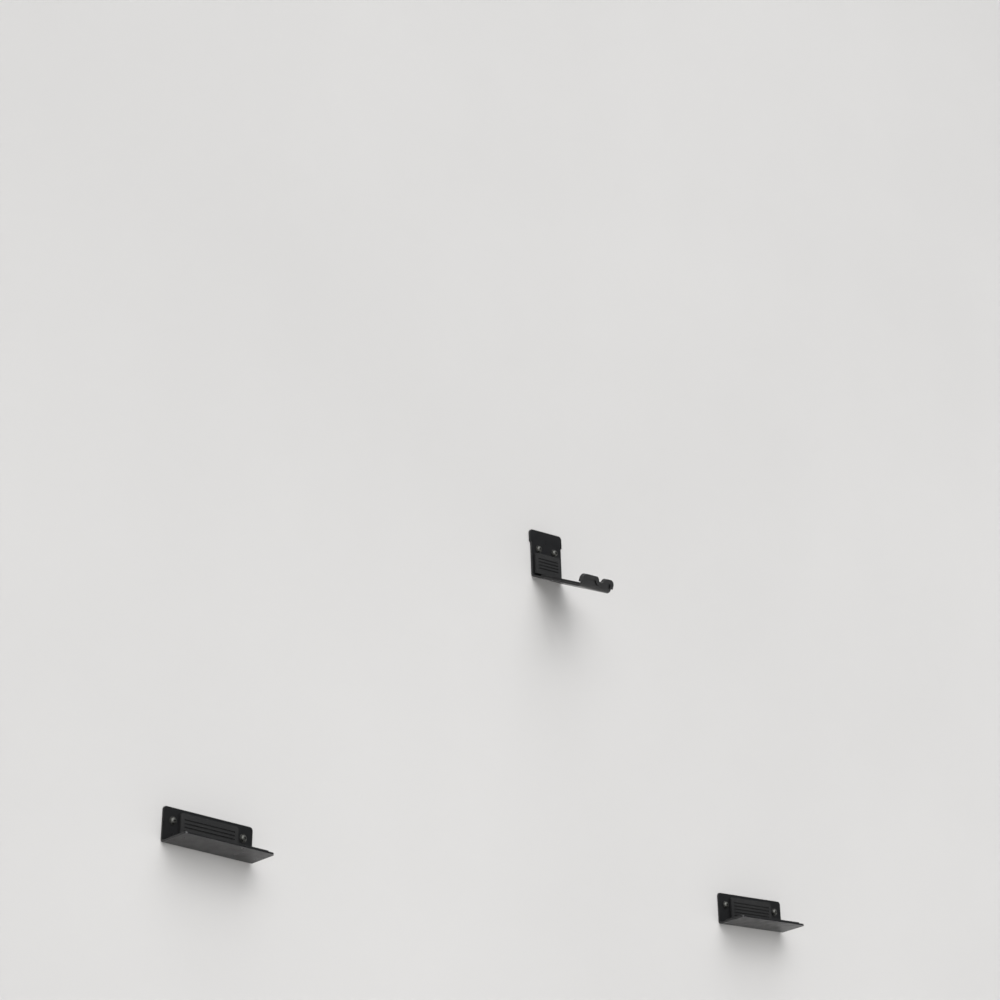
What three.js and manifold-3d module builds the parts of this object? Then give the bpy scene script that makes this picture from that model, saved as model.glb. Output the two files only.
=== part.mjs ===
// Bicycle wall rack: a lined pedal hook and two wheel trays, each screwed to the same wall by itself.
// Millimetres. +X runs along the wall, -Y comes out of the wall, +Z is up.
// The wall's face is Y = 0. The origin is the middle of the hook's wall plate, on its back face.

import * as THREE from "three";
import { mergeVertices } from "three/addons/utils/BufferGeometryUtils.js";
import Module from "manifold-3d";

const wasm = await Module();
wasm.setup();

// Places of the three units on the wall
const TRAY_SPACING = 1134; // between the middles of the trays
const HOOK_FROM_FRONT_TRAY = 687; // along the wall
const HOOK_ABOVE_FRONT_TRAY = 537.7; // from the tray's lower edge to the origin
const REAR_TRAY_RISE = 4; // how much higher the rear tray hangs
const FRONT_TRAY_TURN = 4.4; // degrees that the front tray hangs off level, +X end low

// Pedal hook: wall plate, sloping shelf and upturned lip, bent from one sheet
const HOOK_SHEET = 3;
const HOOK_BEND = 4; // radius inside each bend
const HOOK_WIDTH = 66;
const HOOK_HEIGHT = 75; // of the wall plate, centred on the origin
const HOOK_SLOPE = 21; // degrees that the shelf falls away from the wall
const HOOK_REACH = 107; // along the shelf, from the wall to the lip's outer face
const HEAD_WIDTH = 71; // the wider top of the wall plate
const HEAD_HEIGHT = 20;
const HEAD_CORNER = 6;
const SHOULDER_CORNER = 2;
const LIP_HEIGHT = 19; // above the shelf's underside
const LIP_CORNER = 7;
const SADDLE_DEPTH = 8; // the dip in the lip that the pedal's axle lies in
const SADDLE_RADIUS = 9;
const SADDLE_SHOULDER = 5; // radius where the dip meets the lip's edge
const SADDLE_FROM_MIDDLE = 7;
const HOOK_SCREW_SPACING = 35;
const HOOK_SCREW_DROP = 30; // from the top edge to the screws

// Wheel trays: a wall plate and a shallow shelf, bent from one sheet
const TRAY_SHEET = 2.5;
const TRAY_BEND = 2;
const TRAY_LENGTH = 155;
const TRAY_HEIGHT = 50;
const TRAY_DEPTH = 51;
const TRAY_RISE = 6; // degrees that the shelf climbs away from the wall
const TRAY_CORNER = 5;
const TRAY_SCREW_SPACING = 122;
const TRAY_SCREW_DROP = 18;

// Rubber linings and lip trim
const PAD = 3;
const PAD_MARGIN = 5; // bare sheet left round each pad
const PAD_CORNER = 4;
const GLUE = 0.3; // adhesive film under each pad
const GROOVE_WIDTH = 2.2;
const GROOVE_DEPTH = 1.2;
const GROOVE_PITCH = 5;
const GROOVE_MARGIN = 6; // from the pad's edges to the nearest groove
const TRIM_WALL = 1.6;
const TRIM_COVER = 4.5; // how far the trim reaches in from the lip's edge
const TRIM_GAP = 0.3;

// Fasteners: pan-head screws with washers, in wall plugs
const SCREW = 5; // shank diameter
const SCREW_LENGTH = 50; // under the head
const SCREW_POINT = 7;
const SCREW_HEAD = 10;
const SCREW_HEAD_HEIGHT = 3.4;
const RECESS_SPAN = 5.4;
const RECESS_SLOT = 1.3;
const RECESS_DEPTH = 1.9;
const HOLE_CLEARANCE = 0.5; // a hole's diameter over its screw's
const WASHER_MARGIN = 1.2; // the washer's rim outside the head
const WASHER_THICKNESS = 1;
const SEAT_GAP = 0.1; // between washer and sheet, and between head and washer
const PLUG_WALL = 1.2;
const PLUG_BORE_CLEARANCE = 0.6;
const PLUG_LENGTH = 40;
const PLUG_SUNK = 2.5; // below the wall's face
const PLUG_RIBS = 5;
const PLUG_RIB_DEPTH = 0.35;
const PLUG_SLIT = 1.6;
const PLUG_SLIT_SHARE = 0.6; // of the plug's length, from its tip

const BEND_STEPS = 10;
const CORNER_STEPS = 7;
const GROOVE_END_STEPS = 3;
const ROUND_STEPS = 20;
const MARGIN = 1; // how far cutters run past what they cut

const BLACK_PAINT = { color: 0x17181a, roughness: 0.42, metalness: 0.25 };
const RUBBER = { color: 0x121315, roughness: 0.85, metalness: 0 };
const ZINC = { color: 0x5a5a57, roughness: 0.45, metalness: 1 };
const NYLON = { color: 0x8a8d90, roughness: 0.6, metalness: 0 };

const radians = THREE.MathUtils.degToRad;

// Frames: each maps a drawing's x and y, and its thickness z, to the unit's own axes.
const AXES = {
  x: new THREE.Vector3(1, 0, 0),
  y: new THREE.Vector3(0, 1, 0),
  z: new THREE.Vector3(0, 0, 1),
};
const SIDE_VIEW = new THREE.Matrix4().makeBasis(AXES.y, AXES.z, AXES.x);
const FRONT_VIEW = new THREE.Matrix4().makeBasis(AXES.x, AXES.z, AXES.y.clone().negate());

// ---- Solids ----

// A closed geometry as a manifold-3d solid.
function toSolid(geometry) {
  const bare = new THREE.BufferGeometry();
  bare.setAttribute("position", geometry.getAttribute("position"));
  bare.setIndex(geometry.getIndex());
  const merged = mergeVertices(bare, 1e-4);
  const mesh = new wasm.Mesh({
    numProp: 3,
    vertProperties: new Float32Array(merged.attributes.position.array),
    triVerts: new Uint32Array(merged.index.array),
  });
  return new wasm.Manifold(mesh);
}

// A manifold-3d solid as a flat-shaded geometry.
function toGeometry(solid) {
  const mesh = solid.getMesh();
  const indexed = new THREE.BufferGeometry();
  indexed.setAttribute("position", new THREE.BufferAttribute(mesh.vertProperties, 3));
  indexed.setIndex(new THREE.BufferAttribute(mesh.triVerts, 1));
  const geometry = indexed.toNonIndexed();
  geometry.computeVertexNormals();
  return geometry;
}

// A drawing given thickness from one height to another, then stood up in its frame.
function prism(shape, from, to, frame, steps = CORNER_STEPS) {
  const options = { depth: to - from, bevelEnabled: false, curveSegments: steps };
  const geometry = new THREE.ExtrudeGeometry(shape, options);
  geometry.translate(0, 0, from);
  return toSolid(geometry.applyMatrix4(frame));
}

// A round bar or ring from its radius-and-height profile, with its axis along Y.
function turned(profile) {
  const points = profile.map(([radius, height]) => new THREE.Vector2(radius, height));
  return toSolid(new THREE.LatheGeometry(points, ROUND_STEPS));
}

function block(xSize, ySize, zSize, centre) {
  const geometry = new THREE.BoxGeometry(xSize, ySize, zSize);
  return toSolid(geometry.translate(centre.x, centre.y, centre.z));
}

// ---- Drawings ----

// A rectangle with its lower and its upper corners rounded separately.
function panel(left, right, low, high, lowCorner, highCorner) {
  const shape = new THREE.Shape();
  const quarter = Math.PI / 2;
  const round = (x, y, radius, from) => {
    if (radius > 0) shape.absarc(x, y, radius, from, from + quarter, false);
    else shape.lineTo(x, y);
  };
  shape.moveTo(left + lowCorner, low);
  round(right - lowCorner, low + lowCorner, lowCorner, -quarter);
  round(right - highCorner, high - highCorner, highCorner, 0);
  round(left + highCorner, high - highCorner, highCorner, quarter);
  round(left + lowCorner, low + lowCorner, lowCorner, 2 * quarter);
  return shape;
}

// A sheet seen edge-on: straight legs joined by bends that all turn the same way.
// It starts on the wall at the given height and heads down; turns are in radians.
function bentOutline(top, legs, turns, bend, sheet) {
  const outer = [];
  const inner = [];
  const foot = new THREE.Vector2(0, top);
  let heading = -Math.PI / 2;
  const inward = () => new THREE.Vector2(Math.sin(heading), -Math.cos(heading));
  const mark = () => {
    outer.push(foot.clone());
    inner.unshift(foot.clone().addScaledVector(inward(), sheet));
  };
  mark();
  legs.forEach((leg, index) => {
    foot.x += leg * Math.cos(heading);
    foot.y += leg * Math.sin(heading);
    mark();
    const turn = turns[index] ?? 0;
    const centre = foot.clone().addScaledVector(inward(), bend + sheet);
    for (let step = 0; turn > 0 && step < BEND_STEPS; step += 1) {
      heading -= turn / BEND_STEPS;
      foot.copy(centre).addScaledVector(inward(), -(bend + sheet));
      mark();
    }
  });
  return new THREE.Shape([...outer, ...inner]);
}

// From the sharp corner that a bend replaces to where the bend begins, on the outer face.
function setback(turn, bend, sheet) {
  return (bend + sheet) * Math.tan(turn / 2);
}

// ---- Fasteners ----

// The screws, washers and plugs lie along Y: heads towards -Y, points into the wall.
const WASHER_DIAMETER = SCREW_HEAD + 2 * WASHER_MARGIN;

function washerSolid(sheet) {
  const bore = (SCREW + HOLE_CLEARANCE) / 2;
  const rim = WASHER_DIAMETER / 2;
  const back = -(sheet + SEAT_GAP);
  const front = back - WASHER_THICKNESS;
  return turned([[bore, front], [rim, front], [rim, back], [bore, back], [bore, front]]);
}

function screwSolid(sheet) {
  const seat = -(sheet + WASHER_THICKNESS + 2 * SEAT_GAP);
  const crown = seat - SCREW_HEAD_HEIGHT;
  const tip = seat + SCREW_LENGTH;
  const rim = SCREW_HEAD / 2;
  const profile = [
    [0, crown],
    [0.45 * rim, crown + 0.05 * SCREW_HEAD_HEIGHT],
    [0.8 * rim, crown + 0.25 * SCREW_HEAD_HEIGHT],
    [0.97 * rim, crown + 0.6 * SCREW_HEAD_HEIGHT],
    [rim, seat],
    [SCREW / 2, seat],
    [SCREW / 2, tip - SCREW_POINT],
    [0, tip],
  ];
  const middle = new THREE.Vector3(0, crown + RECESS_DEPTH / 2 - MARGIN / 2, 0);
  const deep = RECESS_DEPTH + MARGIN;
  return turned(profile)
    .subtract(block(RECESS_SPAN, deep, RECESS_SLOT, middle))
    .subtract(block(RECESS_SLOT, deep, RECESS_SPAN, middle));
}

function plugSolid() {
  const bore = (SCREW + PLUG_BORE_CLEARANCE) / 2;
  const outside = bore + PLUG_WALL;
  const pitch = PLUG_LENGTH / (PLUG_RIBS + 1);
  const profile = [[bore, PLUG_SUNK], [outside, PLUG_SUNK]];
  for (let rib = 1; rib <= PLUG_RIBS; rib += 1) {
    const at = PLUG_SUNK + rib * pitch;
    profile.push([outside, at], [outside - PLUG_RIB_DEPTH, at]);
  }
  const end = PLUG_SUNK + PLUG_LENGTH;
  profile.push([outside - PLUG_RIB_DEPTH, end], [bore, end], [bore, PLUG_SUNK]);
  const slit = PLUG_LENGTH * PLUG_SLIT_SHARE;
  const across = 2 * outside + 2 * MARGIN;
  const middle = new THREE.Vector3(0, end - slit / 2 + MARGIN / 2, 0);
  return turned(profile).subtract(block(across, slit + MARGIN, PLUG_SLIT, middle));
}

// Cutters for the screw holes of a wall plate.
function screwHoles(places, sheet) {
  const radius = (SCREW + HOLE_CLEARANCE) / 2;
  const front = -(sheet + MARGIN);
  const bar = [[0, front], [radius, front], [radius, MARGIN], [0, MARGIN]];
  return places.map(([x, z]) => turned(bar).translate([x, 0, z]));
}

// ---- Assembly helpers ----

function mesh(name, solid, look) {
  const made = new THREE.Mesh(toGeometry(solid), new THREE.MeshStandardMaterial(look));
  made.name = name;
  return made;
}

// A screw, washer and plug at each place, named by the side they are on.
function addFasteners(group, prefix, places, sheet) {
  for (const [x, z] of places) {
    const side = x < 0 ? "left" : "right";
    const pieces = [
      mesh(`${prefix}_screw_${side}`, screwSolid(sheet), ZINC),
      mesh(`${prefix}_washer_${side}`, washerSolid(sheet), ZINC),
      mesh(`${prefix}_wall_plug_${side}`, plugSolid(), NYLON),
    ];
    for (const piece of pieces) {
      piece.position.set(x, 0, z);
      group.add(piece);
    }
  }
}

// ---- Pads ----

// A flat pad with a row of round-ended grooves along X, evenly spaced about its middle.
function groovedPad(half, low, high, lowCorner, highCorner, back, frame) {
  const outline = panel(-half, half, low, high, lowCorner, highCorner);
  const face = back + PAD;
  const count = Math.floor((high - low - 2 * GROOVE_MARGIN) / GROOVE_PITCH);
  const first = (low + high - (count - 1) * GROOVE_PITCH) / 2;
  const end = half - GROOVE_MARGIN;
  const round = GROOVE_WIDTH / 2;
  let pad = prism(outline, back, face, frame);
  for (let index = 0; index < count; index += 1) {
    const middle = first + index * GROOVE_PITCH;
    const groove = panel(-end, end, middle - round, middle + round, round, round);
    const cutter = prism(groove, face - GROOVE_DEPTH, face + MARGIN, frame, GROOVE_END_STEPS);
    pad = pad.subtract(cutter);
  }
  return pad;
}

// ---- Pedal hook ----

const HOOK_TOP = HOOK_HEIGHT / 2;
const HOOK_CORNER_Z = -HOOK_HEIGHT / 2; // the sharp corner that the lower bend replaces
const HOOK_TURN = Math.PI / 2 - radians(HOOK_SLOPE);
const HOOK_SETBACK = setback(HOOK_TURN, HOOK_BEND, HOOK_SHEET);
const LIP_SETBACK = setback(Math.PI / 2, HOOK_BEND, HOOK_SHEET);

// The wall plate's outline, wider at the top, run on downwards past the lip.
function hookFront() {
  const body = HOOK_WIDTH / 2;
  const head = HEAD_WIDTH / 2;
  const shoulder = HOOK_TOP - HEAD_HEIGHT;
  const low = HOOK_CORNER_Z - HOOK_REACH;
  const quarter = Math.PI / 2;
  const shape = new THREE.Shape();
  shape.moveTo(-body, low);
  shape.lineTo(body, low);
  shape.lineTo(body, shoulder);
  shape.absarc(head - SHOULDER_CORNER, shoulder + SHOULDER_CORNER, SHOULDER_CORNER, -quarter, 0);
  shape.absarc(head - HEAD_CORNER, HOOK_TOP - HEAD_CORNER, HEAD_CORNER, 0, quarter);
  shape.absarc(-head + HEAD_CORNER, HOOK_TOP - HEAD_CORNER, HEAD_CORNER, quarter, 2 * quarter);
  const left = -head + SHOULDER_CORNER;
  shape.absarc(left, shoulder + SHOULDER_CORNER, SHOULDER_CORNER, 2 * quarter, 3 * quarter);
  shape.lineTo(-body, shoulder);
  return shape;
}

// The lip's outline with the dip for the axle, grown outwards or (negative) inwards.
function lipFront(grow) {
  const half = HOOK_WIDTH / 2 + grow;
  const top = LIP_HEIGHT + grow;
  const corner = LIP_CORNER + grow;
  const quarter = Math.PI / 2;
  const span = SADDLE_RADIUS + SADDLE_SHOULDER;
  const turn = Math.acos((span - SADDLE_DEPTH) / span);
  const right = SADDLE_FROM_MIDDLE + span * Math.sin(turn);
  const left = SADDLE_FROM_MIDDLE - span * Math.sin(turn);
  const shoulder = LIP_HEIGHT - SADDLE_SHOULDER;
  const round = SADDLE_SHOULDER + grow;
  const centre = LIP_HEIGHT - SADDLE_DEPTH + SADDLE_RADIUS;
  const hollow = SADDLE_RADIUS - grow;
  const shape = new THREE.Shape();
  shape.moveTo(-half, 0);
  shape.lineTo(half, 0);
  shape.absarc(half - corner, top - corner, corner, 0, quarter);
  shape.absarc(right, shoulder, round, quarter, quarter + turn);
  shape.absarc(SADDLE_FROM_MIDDLE, centre, hollow, turn - quarter, -turn - quarter, true);
  shape.absarc(left, shoulder, round, quarter - turn, quarter);
  shape.absarc(-half + corner, top - corner, corner, quarter, 2 * quarter);
  return shape;
}

// The shelf's own frame: its underside is z = 0 and -y runs out along it.
const HOOK_SHELF = new THREE.Matrix4()
  .makeRotationX(radians(HOOK_SLOPE))
  .setPosition(0, 0, HOOK_CORNER_Z);
const LIP_FRAME = HOOK_SHELF.clone().multiply(FRONT_VIEW);
const HOOK_SCREWS = [-1, 1].map((side) => [
  (side * HOOK_SCREW_SPACING) / 2,
  HOOK_TOP - HOOK_SCREW_DROP,
]);

function hookBracket() {
  const legs = [
    HOOK_HEIGHT - HOOK_SETBACK,
    HOOK_REACH - HOOK_SETBACK - LIP_SETBACK,
    LIP_HEIGHT - LIP_SETBACK,
  ];
  const turns = [HOOK_TURN, Math.PI / 2];
  const bent = bentOutline(HOOK_TOP, legs, turns, HOOK_BEND, HOOK_SHEET);
  const sheet = prism(bent, -HEAD_WIDTH / 2, HEAD_WIDTH / 2, SIDE_VIEW);
  const front = prism(hookFront(), -MARGIN, HOOK_REACH + LIP_HEIGHT, FRONT_VIEW);
  const inside = HOOK_REACH - HOOK_SHEET - MARGIN;
  const outside = HOOK_REACH + MARGIN;
  const half = HEAD_WIDTH / 2;
  const base = HOOK_SHEET + HOOK_BEND;
  const above = panel(-half, half, base, LIP_HEIGHT + MARGIN, 0, 0);
  const waste = prism(above, inside, outside, LIP_FRAME);
  const lip = prism(lipFront(0), inside - MARGIN, outside + MARGIN, LIP_FRAME);
  const holes = screwHoles(HOOK_SCREWS, HOOK_SHEET);
  return holes.reduce(
    (solid, hole) => solid.subtract(hole),
    sheet.intersect(front).subtract(waste.subtract(lip)),
  );
}

// A pad glued to the inside of the hook's shelf, clear of both bends.
function hookShelfPad() {
  const half = HOOK_WIDTH / 2 - PAD_MARGIN;
  const outer = -(HOOK_REACH - LIP_SETBACK - TRIM_WALL);
  const inner = -(HOOK_SETBACK + GLUE + PAD + PAD_MARGIN);
  const under = HOOK_SHEET + GLUE;
  return groovedPad(half, outer, inner, PAD_CORNER, PAD_CORNER, under, HOOK_SHELF);
}

// A pad glued to the wall plate between the lower bend and the screws.
function hookWallPad() {
  const half = HOOK_WIDTH / 2 - PAD_MARGIN;
  const low = HOOK_CORNER_Z + HOOK_SETBACK + GLUE;
  const high = HOOK_TOP - HOOK_SCREW_DROP - WASHER_DIAMETER / 2 - MARGIN;
  return groovedPad(half, low, high, 0, PAD_CORNER, HOOK_SHEET + GLUE, FRONT_VIEW);
}

// A push-on rubber channel that follows the lip's edge round both corners.
function hookLipTrim() {
  const skin = TRIM_GAP + TRIM_WALL;
  const outer = HOOK_REACH + skin;
  const inner = HOOK_REACH - HOOK_SHEET - skin;
  const whole = prism(lipFront(skin), inner, outer, LIP_FRAME);
  const window = prism(lipFront(-TRIM_COVER), inner - MARGIN, outer + MARGIN, LIP_FRAME);
  const slotInner = HOOK_REACH - HOOK_SHEET - TRIM_GAP;
  const slot = prism(lipFront(TRIM_GAP), slotInner, HOOK_REACH + TRIM_GAP, LIP_FRAME);
  const half = HOOK_WIDTH / 2 + skin + MARGIN;
  const foot = HOOK_SHEET + HOOK_BEND + TRIM_GAP;
  const bend = panel(-half, half, -MARGIN, foot, 0, 0);
  const below = prism(bend, inner - MARGIN, outer + MARGIN, LIP_FRAME);
  return whole.subtract(window).subtract(slot).subtract(below);
}

function pedalHook() {
  const group = new THREE.Group();
  group.add(
    mesh("hook_bracket", hookBracket(), BLACK_PAINT),
    mesh("hook_shelf_pad", hookShelfPad(), RUBBER),
    mesh("hook_wall_pad", hookWallPad(), RUBBER),
    mesh("hook_lip_trim", hookLipTrim(), RUBBER),
  );
  addFasteners(group, "hook", HOOK_SCREWS, HOOK_SHEET);
  return group;
}

// ---- Wheel trays ----

const TRAY_TURN = Math.PI / 2 + radians(TRAY_RISE);
const TRAY_SETBACK = setback(TRAY_TURN, TRAY_BEND, TRAY_SHEET);
const TRAY_SHELF = new THREE.Matrix4().makeRotationX(-radians(TRAY_RISE));
const TRAY_SCREWS = [-1, 1].map((side) => [
  (side * TRAY_SCREW_SPACING) / 2,
  TRAY_HEIGHT - TRAY_SCREW_DROP,
]);

function trayBracket() {
  const half = TRAY_LENGTH / 2;
  const legs = [TRAY_HEIGHT - TRAY_SETBACK, TRAY_DEPTH - TRAY_SETBACK];
  const bent = bentOutline(TRAY_HEIGHT, legs, [TRAY_TURN], TRAY_BEND, TRAY_SHEET);
  const sheet = prism(bent, -half, half, SIDE_VIEW);
  const plate = panel(-half, half, -MARGIN, TRAY_HEIGHT, 0, TRAY_CORNER);
  const front = prism(plate, -MARGIN, TRAY_DEPTH + MARGIN, FRONT_VIEW);
  const shelf = panel(-half, half, -TRAY_DEPTH, MARGIN, TRAY_CORNER, 0);
  const plan = prism(shelf, -MARGIN, TRAY_HEIGHT + TRAY_DEPTH, TRAY_SHELF);
  const holes = screwHoles(TRAY_SCREWS, TRAY_SHEET);
  return holes.reduce((solid, hole) => solid.subtract(hole), sheet.intersect(front).intersect(plan));
}

function trayShelfPad() {
  const half = TRAY_LENGTH / 2 - PAD_MARGIN;
  const inner = -(TRAY_SETBACK + GLUE + PAD + PAD_MARGIN / 2);
  const outer = -(TRAY_DEPTH - PAD_MARGIN);
  return groovedPad(half, outer, inner, PAD_CORNER, 0, TRAY_SHEET + GLUE, TRAY_SHELF);
}

// The tyre leans on this pad, between the two screws.
function trayWallPad() {
  const half = TRAY_SCREW_SPACING / 2 - WASHER_DIAMETER / 2 - PAD_MARGIN;
  const low = TRAY_SETBACK + GLUE + PAD_MARGIN / 2;
  const high = TRAY_HEIGHT - PAD_MARGIN;
  return groovedPad(half, low, high, 0, PAD_CORNER, TRAY_SHEET + GLUE, FRONT_VIEW);
}

function wheelTray(prefix) {
  const group = new THREE.Group();
  group.add(
    mesh(`${prefix}_bracket`, trayBracket(), BLACK_PAINT),
    mesh(`${prefix}_shelf_pad`, trayShelfPad(), RUBBER),
    mesh(`${prefix}_wall_pad`, trayWallPad(), RUBBER),
  );
  addFasteners(group, prefix, TRAY_SCREWS, TRAY_SHEET);
  return group;
}

// ---- The whole rack ----

const frontTray = wheelTray("front_tray");
frontTray.position.set(-HOOK_FROM_FRONT_TRAY, 0, -HOOK_ABOVE_FRONT_TRAY);
frontTray.rotation.y = radians(FRONT_TRAY_TURN);

const rearTray = wheelTray("rear_tray");
const rearX = TRAY_SPACING - HOOK_FROM_FRONT_TRAY;
rearTray.position.set(rearX, 0, REAR_TRAY_RISE - HOOK_ABOVE_FRONT_TRAY);

const rack = new THREE.Group();
rack.add(pedalHook(), frontTray, rearTray);

export default rack;
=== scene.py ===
"""Looks of the bicycle wall rack: a lined pedal hook and two wheel trays on one wall.

Metres, in the CAD frame: +X runs along the wall, -Y comes out of it, +Z is up, and its face is Y = 0.
Each CAD node is replaced by a finer piece: sheets, pads, trim and plugs by copies with rounded edges,
screws by ones with threads, and washers by finer rings.
"""

import math

import bmesh
import bpy
from mathutils import Matrix, Vector


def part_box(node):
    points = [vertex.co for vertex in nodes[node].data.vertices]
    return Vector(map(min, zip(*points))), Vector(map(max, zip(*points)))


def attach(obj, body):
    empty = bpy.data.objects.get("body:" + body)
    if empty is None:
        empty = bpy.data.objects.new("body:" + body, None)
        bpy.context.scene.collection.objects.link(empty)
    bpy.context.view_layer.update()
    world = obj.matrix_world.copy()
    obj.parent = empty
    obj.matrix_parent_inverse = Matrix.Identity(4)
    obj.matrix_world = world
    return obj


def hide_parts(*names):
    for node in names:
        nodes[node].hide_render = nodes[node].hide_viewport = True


MM = 0.001

# The camera stands low and to the left of the rack and looks up along the wall.
CAMERA_PLACE = Vector((-3.1756, -2.9046, -1.257))
CAMERA_HEADING = 46.67  # degrees from +Y towards +X
CAMERA_PITCH = 17.43  # degrees upwards
CAMERA_ROLL = -2.06  # degrees about the view, with the camera's left side up
CAMERA_LENS = 104.8  # mm
CAMERA_SENSOR = 36.0  # mm wide
CAMERA_REACH = 100.0

# The room
WALL_GAP = 0.2 * MM  # from the plates' backs to the wall that is seen
WALL_SIZE = 16.0
WALL_COLOUR = (0.62, 0.61, 0.6)
FLOOR_DROP = 1.4  # from the camera down to the floor
FLOOR_SIZE = 60.0
FLOOR_COLOUR = (0.5, 0.497, 0.49)
PAINT_ROUGHNESS = 0.85
PAINT_VARIATION = 0.03  # how much lighter or darker a patch of paint is

# Soft lights: name, direction towards it, strength, spread in degrees
LIGHTS = [
    ("key", (-0.52, -0.74, 0.42), 1.95, 50),
    ("top", (0.0, -0.5, 0.87), 1.0, 50),
    ("back", (0.35, 0.75, 0.55), 1.9, 40),
]

# The studio round the rack: colours at two heights, each as the sine of its angle over the horizon
HORIZON = (0.3, (0.13, 0.135, 0.14))
OVERHEAD = (0.9, (0.95, 0.97, 1.0))
BACKDROP = (0.72, 0.73, 0.74)  # what the camera sees past the wall and the floor

# Rounded edges of the fine copies
SHEET_EDGE = 0.45 * MM
PAD_EDGE = 0.35 * MM
TRIM_EDGE = 0.5 * MM
PLUG_EDGE = 0.2 * MM
EDGE_SEGMENTS = 3
SHARP_ANGLE = math.radians(26)  # edges sharper than this are rounded
FLAT_ANGLE = math.radians(0.4)  # faces that meet at less than this become one
MERGE = 1e-6  # vertices closer than this become one

# Washers
WASHER_EDGE = 0.3 * MM
WASHER_STEPS = 72

# Screws: the shank, its thread and its point
SHANK_SHARE = 0.5  # of the head's diameter
THREAD_PITCH = 2.2 * MM
THREAD_DEPTH = 0.55 * MM
THREAD_START = 12 * MM  # plain shank under the head
THREAD_FLANK = 0.32  # of the pitch, from a crest down to a root
THREAD_LIMIT = 0.6  # the deepest cut, as a share of the shank's radius there
THREAD_ROWS_PER_TURN = 10
SCREW_STEPS = 40
POINT_LENGTH = 7 * MM
POINT_RADIUS = 0.05 * MM

# Screws: the domed head and the cross recess in it
HEAD_HEIGHT = 3.4 * MM
HEAD_RIM = 0.97  # of the head's radius, where it meets the washer
CROWN_ANGLES = range(6, 91, 7)  # degrees from the crown's middle to its rim
CROWN_FLATNESS = 0.35  # this and the power shape the dome
CROWN_POWER = 0.4
RECESS_SPAN = 5.2 * MM
RECESS_SLOT = 1.25 * MM
RECESS_DEPTH = 2.0 * MM
RECESS_MOUTH = 1.15  # the recess cutter's outer end, as a share of the span and the slot
RECESS_FLOOR = 0.55  # its inner end
SCREW_SHARP_ANGLE = math.radians(38)

# Colours, each as its darker and its lighter shade
COAT = ((0.005, 0.005, 0.0055), (0.0085, 0.0085, 0.009))
COAT_FLECK = (0.028, 0.028, 0.03)
BARE_STEEL = (0.085, 0.083, 0.08)
PAD_BLACK = ((0.006, 0.006, 0.0065), (0.015, 0.0147, 0.0143))
TRIM_BLACK = ((0.006, 0.006, 0.0065), (0.012, 0.012, 0.0125))
SCREW_ZINC = (0.13, 0.13, 0.122)
WASHER_ZINC = (0.1, 0.1, 0.095)
DULL_ZINC_SHARE = 0.62  # of the bright zinc's colour
NYLON_GREY = ((0.25, 0.26, 0.275), (0.33, 0.34, 0.355))
COAT_IOR = 1.5
RUBBER_IOR = 1.5
NYLON_IOR = 1.53

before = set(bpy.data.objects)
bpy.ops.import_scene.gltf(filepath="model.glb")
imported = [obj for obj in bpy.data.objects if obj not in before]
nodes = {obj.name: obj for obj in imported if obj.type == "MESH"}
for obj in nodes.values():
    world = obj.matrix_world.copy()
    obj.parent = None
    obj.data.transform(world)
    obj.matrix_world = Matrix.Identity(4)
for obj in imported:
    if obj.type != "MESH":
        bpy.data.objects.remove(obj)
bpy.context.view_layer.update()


# ---------------------------------------------------------------- materials


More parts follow.
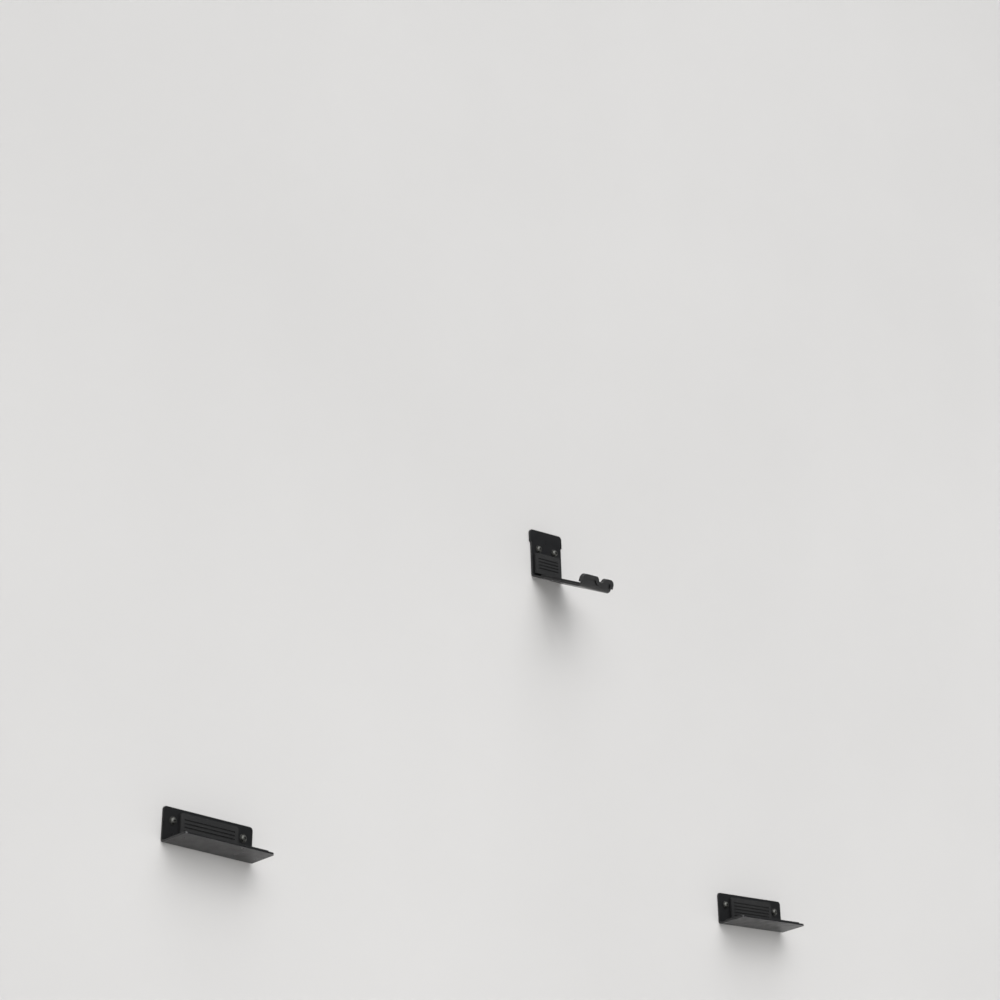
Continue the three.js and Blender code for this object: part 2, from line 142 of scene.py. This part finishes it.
class Shader:
    """A small helper that lays out one material's nodes."""

    def __init__(self, name):
        self.material = bpy.data.materials.new(name)
        self.material.use_nodes = True
        self.tree = self.material.node_tree
        self.bsdf = self.tree.nodes["Principled BSDF"]
        self.place = self.tree.nodes.new("ShaderNodeTexCoord").outputs["Object"]

    def feed(self, socket, value):
        """Links an output to a socket, or sets a plain number or colour on it."""
        if isinstance(value, (int, float)):
            socket.default_value = value
        elif isinstance(value, tuple):
            socket.default_value = (*value, 1)
        else:
            self.tree.links.new(value, socket)

    def stretch(self, scale):
        """The piece's own coordinates, scaled along each axis."""
        node = self.tree.nodes.new("ShaderNodeMapping")
        node.inputs["Scale"].default_value = scale
        self.feed(node.inputs["Vector"], self.place)
        return node.outputs["Vector"]

    def noise(self, size, detail=2.0, roughness=0.5, place=None):
        """Noise whose features are about that many metres across."""
        node = self.tree.nodes.new("ShaderNodeTexNoise")
        node.inputs["Scale"].default_value = 1 / size
        node.inputs["Detail"].default_value = detail
        node.inputs["Roughness"].default_value = roughness
        self.feed(node.inputs["Vector"], place or self.place)
        return node.outputs["Fac"]

    def cells(self, size):
        """Rounded cells about that many metres across."""
        node = self.tree.nodes.new("ShaderNodeTexVoronoi")
        node.inputs["Scale"].default_value = 1 / size
        self.feed(node.inputs["Vector"], self.place)
        return node.outputs["Distance"]

    def ramp(self, value, stops):
        """A colour or grey for each place along a value from 0 to 1."""
        node = self.tree.nodes.new("ShaderNodeValToRGB")
        node.color_ramp.elements.remove(node.color_ramp.elements[1])
        for index, (at, colour) in enumerate(stops):
            if index:
                element = node.color_ramp.elements.new(at)
            else:
                element = node.color_ramp.elements[0]
                element.position = at
            grey = (colour,) * 3 if isinstance(colour, (int, float)) else colour
            element.color = (*grey, 1)
        self.feed(node.inputs["Fac"], value)
        return node.outputs["Color"]

    def math(self, operation, first, second):
        """One sum on two values, kept between 0 and 1."""
        node = self.tree.nodes.new("ShaderNodeMath")
        node.operation = operation
        node.use_clamp = True
        self.feed(node.inputs[0], first)
        self.feed(node.inputs[1], second)
        return node.outputs["Value"]

    def mix(self, share, first, second):
        """Colour first where share is 0 and colour second where it is 1."""
        node = self.tree.nodes.new("ShaderNodeMix")
        node.data_type = "RGBA"
        self.feed(node.inputs["Factor"], share)
        self.feed(node.inputs["A"], first)
        self.feed(node.inputs["B"], second)
        return node.outputs["Result"]

    def attribute(self, name):
        """A value that the mesh carries on its vertices."""
        node = self.tree.nodes.new("ShaderNodeAttribute")
        node.attribute_name = name
        return node.outputs["Fac"]

    def bump(self, height, depth, under=None):
        """A bump of that depth in metres, laid over another one if given."""
        node = self.tree.nodes.new("ShaderNodeBump")
        node.inputs["Strength"].default_value = 1.0
        node.inputs["Distance"].default_value = depth
        self.feed(node.inputs["Height"], height)
        if under:
            self.feed(node.inputs["Normal"], under)
        return node.outputs["Normal"]

    def finish(self, colour, roughness, normal):
        """The material, once its colour, roughness and surface normal are fed in."""
        self.feed(self.bsdf.inputs["Base Color"], colour)
        self.feed(self.bsdf.inputs["Roughness"], roughness)
        self.feed(self.bsdf.inputs["Normal"], normal)
        return self.material


def powder_coat():
    """Semi-gloss black powder coat: fine orange peel, faint flecks, rubbed through along the edges."""
    s = Shader("black_powder_coat")
    s.bsdf.inputs["IOR"].default_value = COAT_IOR
    cloud = s.noise(60 * MM, detail=3.0)
    grain = s.noise(1.1 * MM, detail=3.0, roughness=0.6)
    shade = s.ramp(cloud, [(0.3, COAT[0]), (0.7, COAT[1])])
    fleck = s.ramp(s.noise(0.5 * MM), [(0.62, 0.0), (0.72, 0.16)])
    coat = s.mix(fleck, shade, COAT_FLECK)
    rubbed = s.ramp(s.noise(3.5 * MM, detail=4.0, roughness=0.65), [(0.48, 0.0), (0.62, 0.8)])
    worn = s.math("MULTIPLY", s.attribute("wear"), rubbed)
    colour = s.mix(worn, coat, BARE_STEEL)
    gloss = s.ramp(s.noise(14 * MM, detail=4.0), [(0.3, 0.27), (0.7, 0.38)])
    peel = s.bump(s.cells(1.7 * MM), 0.03 * MM)
    normal = s.bump(grain, 0.035 * MM, under=peel)
    return s.finish(colour, gloss, normal)


def pad_rubber():
    """Matt black rubber with a fine moulded grain and a little grey dust."""
    s = Shader("rubber_pad")
    s.bsdf.inputs["IOR"].default_value = RUBBER_IOR
    grain = s.noise(0.6 * MM, detail=3.0, roughness=0.6)
    dust = s.noise(22 * MM, detail=5.0, roughness=0.62, place=s.stretch((0.35, 1, 1)))
    colour = s.ramp(dust, [(0.35, PAD_BLACK[0]), (0.75, PAD_BLACK[1])])
    roughness = s.ramp(grain, [(0.3, 0.66), (0.7, 0.86)])
    return s.finish(colour, roughness, s.bump(grain, 0.06 * MM))


def trim_rubber():
    """Smoother extruded rubber, with faint lines along its length."""
    s = Shader("rubber_trim")
    s.bsdf.inputs["IOR"].default_value = RUBBER_IOR
    lines = s.noise(0.5 * MM, detail=2.0, place=s.stretch((0.03, 1, 1)))
    cloud = s.noise(18 * MM, detail=3.0)
    colour = s.ramp(cloud, [(0.3, TRIM_BLACK[0]), (0.7, TRIM_BLACK[1])])
    roughness = s.ramp(lines, [(0.3, 0.42), (0.7, 0.56)])
    return s.finish(colour, roughness, s.bump(lines, 0.02 * MM))


def zinc(name, bright, stretch):
    """Zinc plate: mottled grey metal, dull in patches, with fine marks stretched along one axis."""
    s = Shader(name)
    s.bsdf.inputs["Metallic"].default_value = 1.0
    spangle = s.cells(1.6 * MM)
    cloud = s.noise(4 * MM, detail=4.0, roughness=0.6)
    dull = tuple(DULL_ZINC_SHARE * part for part in bright)
    colour = s.ramp(cloud, [(0.3, dull), (0.7, bright)])
    marks = s.noise(0.35 * MM, detail=2.0, place=s.stretch(stretch))
    roughness = s.ramp(cloud, [(0.3, 0.55), (0.7, 0.38)])
    under = s.bump(spangle, 0.02 * MM)
    return s.finish(colour, roughness, s.bump(marks, 0.02 * MM, under=under))


def nylon():
    """Grey moulded nylon with a slight mottle and a fine satin skin."""
    s = Shader("nylon_plug")
    s.bsdf.inputs["IOR"].default_value = NYLON_IOR
    s.bsdf.inputs["Subsurface Weight"].default_value = 0.08
    s.bsdf.inputs["Subsurface Radius"].default_value = (MM, MM, MM)
    mottle = s.noise(6 * MM, detail=3.0)
    grain = s.noise(0.4 * MM, detail=2.0)
    colour = s.ramp(mottle, [(0.3, NYLON_GREY[0]), (0.7, NYLON_GREY[1])])
    roughness = s.ramp(grain, [(0.3, 0.42), (0.7, 0.58)])
    return s.finish(colour, roughness, s.bump(grain, 0.02 * MM))


MATERIALS = {
    "black_powder_coat": powder_coat(),
    "rubber_pad": pad_rubber(),
    "rubber_trim": trim_rubber(),
    "zinc_screw": zinc("zinc_screw", SCREW_ZINC, (1, 0.15, 1)),
    "zinc_washer": zinc("zinc_washer", WASHER_ZINC, (1, 1, 0.2)),
    "nylon_plug": nylon(),
}


# ---------------------------------------------------------------- meshes


def new_piece(name, mesh, slot, replaced):
    """A finished piece that stands for one CAD node and rides on the rack's one body."""
    piece = bpy.data.objects.new(name, mesh)
    bpy.context.scene.collection.objects.link(piece)
    mesh.materials.clear()
    mesh.materials.append(MATERIALS[slot])
    for face in mesh.polygons:
        face.use_smooth = True
    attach(piece, "root")
    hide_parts(replaced)
    return piece


def even_shading(piece):
    """Keeps wide faces flat and lets only the rounded edges between them turn the light."""
    modifier = piece.modifiers.new("even_shading", "WEIGHTED_NORMAL")
    modifier.weight = 100  # the most: wide faces alone set the normals
    modifier.keep_sharp = True


def rounded_copy(node, edge):
    """A bmesh of a CAD node with its flat faces merged and its sharp edges rounded.

    Its float layer "wear" is 1 along the middle of each rounded edge and 0 on the faces.
    """
    work = bmesh.new()
    work.from_mesh(nodes[node].data)
    bmesh.ops.remove_doubles(work, verts=work.verts, dist=MERGE)
    bmesh.ops.dissolve_limit(work, angle_limit=FLAT_ANGLE, verts=work.verts, edges=work.edges)
    wear = work.verts.layers.float.new("wear")
    sharp = [e for e in work.edges if len(e.link_faces) == 2 and e.calc_face_angle(0) > SHARP_ANGLE]
    before = set(work.faces)
    made = bmesh.ops.bevel(
        work,
        geom=sharp,
        offset=edge,
        offset_type="OFFSET",
        segments=EDGE_SEGMENTS,
        profile=0.5,
        affect="EDGES",
        clamp_overlap=True,
        miter_outer="ARC",
    )
    strips = set(made["faces"]) - before
    for face in strips:
        for vertex in face.verts:
            if all(f in strips for f in vertex.link_faces):
                vertex[wear] = 1.0
    bmesh.ops.recalc_face_normals(work, faces=work.faces)
    return work


def fine_piece(node, slot, edge):
    """A rounded copy in place of one CAD node."""
    work = rounded_copy(node, edge)
    mesh = bpy.data.meshes.new(node + "_fine")
    work.to_mesh(mesh)
    work.free()
    even_shading(new_piece(node + "_fine", mesh, slot, node))


# ---------------------------------------------------------------- screws


def shank_radius(depth, length, radius):
    """The core's radius at a depth under the head: plain, then tapering to the point."""
    left = length - depth
    return radius * min(1.0, max(0.0, left / POINT_LENGTH))


def screw_rows(length, head):
    """(depth under the head, radius, share of thread) for each ring, from the crown to the tip."""
    rim = head / 2
    rows = []
    for angle in CROWN_ANGLES:
        rise = math.sin(math.radians(angle))
        depth = -HEAD_HEIGHT * math.cos(math.radians(angle))
        radius = rim * (CROWN_FLATNESS + (1 - CROWN_FLATNESS) * rise) * rise**CROWN_POWER
        rows.append((depth, radius, 0.0))
    shank = head * SHANK_SHARE / 2
    rows += [(0.0, rim * HEAD_RIM, 0.0), (0.0, shank, 0.0)]
    step = THREAD_PITCH / THREAD_ROWS_PER_TURN
    count = math.ceil(length / step)
    for index in range(1, count):
        depth = length * index / count
        share = min(1.0, max(0.0, (depth - THREAD_START) / THREAD_PITCH))
        rows.append((depth, shank_radius(depth, length, shank), share))
    return rows


def thread_cut(depth, turn):
    """How far into the thread the surface lies there, from 0 at its crest to 1 at its root."""
    phase = (depth / THREAD_PITCH - turn / math.tau) % 1.0
    return min(1.0, abs(phase - 0.5) / THREAD_FLANK)


def screw_mesh(name, crown, tip, centre, head):
    """A pan-head screw with a helical thread along +Y, from its crown to its tip."""
    work = bmesh.new()
    seat = crown + HEAD_HEIGHT
    length = tip - seat

    def ring(depth, radius, share):
        made = []
        for index in range(SCREW_STEPS):
            turn = math.tau * index / SCREW_STEPS
            cut = THREAD_DEPTH * share * thread_cut(depth, turn)
            r = max(POINT_RADIUS, radius - min(cut, THREAD_LIMIT * radius))
            place = (centre.x + r * math.cos(turn), seat + depth, centre.z + r * math.sin(turn))
            made.append(work.verts.new(place))
        return made

    rings = [ring(*row) for row in screw_rows(length, head)]
    for first, second in zip(rings, rings[1:]):
        for index in range(SCREW_STEPS):
            after = (index + 1) % SCREW_STEPS
            work.faces.new((first[index], first[after], second[after], second[index]))
    for ends, height in ((rings[0], crown), (rings[-1], tip)):
        middle = work.verts.new((centre.x, height, centre.z))
        for index in range(SCREW_STEPS):
            work.faces.new((ends[index], ends[(index + 1) % SCREW_STEPS], middle))
    bmesh.ops.recalc_face_normals(work, faces=work.faces)
    mesh = bpy.data.meshes.new(name)
    work.to_mesh(mesh)
    work.free()
    return mesh


def recess_cutter(crown, centre):
    """A cross that narrows with depth, to cut the driver recess."""
    work = bmesh.new()
    for along, across in ((RECESS_SPAN, RECESS_SLOT), (RECESS_SLOT, RECESS_SPAN)):
        made = bmesh.ops.create_cube(work, size=1.0)["verts"]
        for vertex in made:
            deep = vertex.co.y > 0
            share = RECESS_FLOOR if deep else RECESS_MOUTH
            x = centre.x + vertex.co.x * along * share
            y = crown + (RECESS_DEPTH if deep else -RECESS_DEPTH)
            z = centre.z + vertex.co.z * across * share
            vertex.co = Vector((x, y, z))
    mesh = bpy.data.meshes.new("recess")
    work.to_mesh(mesh)
    work.free()
    cutter = bpy.data.objects.new("recess", mesh)
    bpy.context.scene.collection.objects.link(cutter)
    return cutter


def applied(piece):
    """The piece's mesh with its modifiers applied."""
    graph = bpy.context.evaluated_depsgraph_get()
    return bpy.data.meshes.new_from_object(piece.evaluated_get(graph))


def screw(node):
    """A threaded screw of the CAD screw's length and head diameter, about its axis."""
    low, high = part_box(node)
    centre = (low + high) / 2
    name = node + "_fine"
    mesh = screw_mesh(name, low.y, high.y, centre, high.x - low.x)
    raw = bpy.data.objects.new("raw_" + name, mesh)
    bpy.context.scene.collection.objects.link(raw)
    cutter = recess_cutter(low.y, centre)
    cut = raw.modifiers.new("recess", "BOOLEAN")
    cut.object = cutter
    cut.operation = "DIFFERENCE"
    cut.solver = "EXACT"
    cut.use_self = True
    finished = applied(raw)
    bpy.data.objects.remove(raw)
    bpy.data.objects.remove(cutter)
    finished.name = name
    new_piece(name, finished, "zinc_screw", node)
    finished.set_sharp_from_angle(angle=SCREW_SHARP_ANGLE)


# ---------------------------------------------------------------- washers


def washer(node):
    """A stamped ring with rounded rims, turned in fine steps about the CAD washer's axis.

    Each corner of its section has a radius, a height, and the way from it to its rounding's centre.
    """
    low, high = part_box(node)
    centre = (low + high) / 2
    outer = (high.x - low.x) / 2
    places = [vertex.co for vertex in nodes[node].data.vertices]
    inner = min(math.hypot(place.x - centre.x, place.z - centre.z) for place in places)
    corners = [
        (outer, low.y, -1, 1),
        (outer, high.y, -1, -1),
        (inner, high.y, 1, -1),
        (inner, low.y, 1, 1),
    ]
    profile = []
    for index, (radius, height, inwards, upwards) in enumerate(corners):
        for step in range(EDGE_SEGMENTS + 1):
            turn = math.pi / 2 * (index - 1 + step / EDGE_SEGMENTS)
            r = radius + WASHER_EDGE * (inwards + math.cos(turn))
            y = height + WASHER_EDGE * (upwards + math.sin(turn))
            profile.append((r, y))
    work = bmesh.new()
    rings = []
    for index in range(WASHER_STEPS):
        turn = math.tau * index / WASHER_STEPS
        across = math.cos(turn)
        up = math.sin(turn)
        places = [(centre.x + r * across, y, centre.z + r * up) for r, y in profile]
        rings.append([work.verts.new(place) for place in places])
    for first, second in zip(rings, rings[1:] + rings[:1]):
        for index in range(len(profile)):
            after = (index + 1) % len(profile)
            work.faces.new((first[index], first[after], second[after], second[index]))
    bmesh.ops.recalc_face_normals(work, faces=work.faces)
    mesh = bpy.data.meshes.new(node + "_fine")
    work.to_mesh(mesh)
    work.free()
    even_shading(new_piece(node + "_fine", mesh, "zinc_washer", node))


# ---------------------------------------------------------------- the rack

# What each kind of CAD node is made of, and how far its edges are rounded
EDGES = {
    "bracket": ("black_powder_coat", SHEET_EDGE),
    "shelf_pad": ("rubber_pad", PAD_EDGE),
    "wall_pad": ("rubber_pad", PAD_EDGE),
    "lip_trim": ("rubber_trim", TRIM_EDGE),
    "wall_plug": ("nylon_plug", PLUG_EDGE),
}

for node_name in sorted(nodes):
    if "_screw_" in node_name:
        screw(node_name)
    elif "_washer_" in node_name:
        washer(node_name)
    else:
        slot_name, edge_radius = next(EDGES[kind] for kind in EDGES if kind in node_name)
        fine_piece(node_name, slot_name, edge_radius)


# ---------------------------------------------------------------- the room


def plain_paint(name, colour, passes_light):
    """Pale matt paint with a faint roller texture, seen from the front only and clear from behind.

    One that passes light casts no shadow, so that what is close in front of it is lit from behind too.
    """
    s = Shader(name)
    tone = s.noise(0.9, detail=4.0)
    lighter = tuple(part * (1 + PAINT_VARIATION) for part in colour)
    darker = tuple(part * (1 - PAINT_VARIATION) for part in colour)
    roller = s.noise(2.5 * MM, detail=2.0)
    shade = s.ramp(tone, [(0.3, darker), (0.7, lighter)])
    material = s.finish(shade, PAINT_ROUGHNESS, s.bump(roller, 0.08 * MM))
    open_to = s.tree.nodes.new("ShaderNodeNewGeometry").outputs["Backfacing"]
    if passes_light:
        path = s.tree.nodes.new("ShaderNodeLightPath")
        open_to = s.math("MAXIMUM", open_to, path.outputs["Is Shadow Ray"])
    clear = s.tree.nodes.new("ShaderNodeBsdfTransparent")
    choose = s.tree.nodes.new("ShaderNodeMixShader")
    s.feed(choose.inputs["Fac"], open_to)
    s.feed(choose.inputs[1], s.bsdf.outputs["BSDF"])
    s.feed(choose.inputs[2], clear.outputs["BSDF"])
    s.feed(s.tree.nodes["Material Output"].inputs["Surface"], choose.outputs["Shader"])
    return material


def stage_plane(name, size, matrix, material):
    """A square that belongs to the room and not to the rack."""
    mesh = bpy.data.meshes.new(name)
    half = size / 2
    corners = [(-half, -half, 0), (half, -half, 0), (half, half, 0), (-half, half, 0)]
    mesh.from_pydata(corners, [], [(0, 1, 2, 3)])
    mesh.transform(matrix)
    mesh.materials.append(material)
    plane = bpy.data.objects.new(name, mesh)
    bpy.context.scene.collection.objects.link(plane)


def make_room():
    floor_height = CAMERA_PLACE.z - FLOOR_DROP
    floor = Matrix.Translation((0, 0, floor_height))
    stage_plane("floor", FLOOR_SIZE, floor, plain_paint("floor_paint", FLOOR_COLOUR, False))
    upright = Matrix.Rotation(math.radians(90), 4, "X")
    up = floor_height + WALL_SIZE / 2
    wall = Matrix.Translation((0, WALL_GAP, up)) @ upright
    stage_plane("wall", WALL_SIZE, wall, plain_paint("wall_paint", WALL_COLOUR, True))


def soft_sun(name, direction, strength, spread):
    """Even light from far away in that direction, spread over that many degrees."""
    data = bpy.data.lights.new(name, "SUN")
    data.energy = strength
    data.angle = math.radians(spread)
    light = bpy.data.objects.new(name, data)
    bpy.context.scene.collection.objects.link(light)
    light.rotation_euler = (-Vector(direction)).to_track_quat("-Z", "Y").to_euler()


def make_world():
    """A plain studio: dim at the horizon, bright overhead, and pale where the camera sees it."""
    world = bpy.data.worlds.new("studio")
    world.use_nodes = True
    tree = world.node_tree
    background = tree.nodes["Background"]
    place = tree.nodes.new("ShaderNodeTexCoord")
    split = tree.nodes.new("ShaderNodeSeparateXYZ")
    tree.links.new(place.outputs["Generated"], split.inputs["Vector"])
    ramp = tree.nodes.new("ShaderNodeValToRGB")
    for element, (height, colour) in zip(ramp.color_ramp.elements, (HORIZON, OVERHEAD)):
        element.position = height
        element.color = (*colour, 1)
    tree.links.new(split.outputs["Z"], ramp.inputs["Fac"])
    pale = tree.nodes.new("ShaderNodeBackground")
    pale.inputs["Color"].default_value = (*BACKDROP, 1)
    path = tree.nodes.new("ShaderNodeLightPath")
    choose = tree.nodes.new("ShaderNodeMixShader")
    tree.links.new(ramp.outputs["Color"], background.inputs["Color"])
    tree.links.new(path.outputs["Is Camera Ray"], choose.inputs["Fac"])
    tree.links.new(background.outputs["Background"], choose.inputs[1])
    tree.links.new(pale.outputs["Background"], choose.inputs[2])
    tree.links.new(choose.outputs["Shader"], tree.nodes["World Output"].inputs["Surface"])
    bpy.context.scene.world = world


def make_lights():
    for light in LIGHTS:
        soft_sun(*light)


def make_camera():
    heading = math.radians(CAMERA_HEADING)
    pitch = math.radians(CAMERA_PITCH)
    level_part = math.cos(pitch)
    ahead = Vector(
        (math.sin(heading) * level_part, math.cos(heading) * level_part, math.sin(pitch))
    )
    level = ahead.to_track_quat("-Z", "Y").to_matrix().to_4x4()
    roll = Matrix.Rotation(math.radians(CAMERA_ROLL), 4, "Z")
    data = bpy.data.cameras.new("camera")
    data.sensor_width = CAMERA_SENSOR
    data.lens = CAMERA_LENS
    data.clip_end = CAMERA_REACH
    camera = bpy.data.objects.new("camera", data)
    bpy.context.scene.collection.objects.link(camera)
    camera.matrix_world = Matrix.Translation(CAMERA_PLACE) @ level @ roll
    bpy.context.scene.camera = camera


make_room()
make_world()
make_lights()
make_camera()
bpy.context.scene.view_settings.view_transform = "Standard"
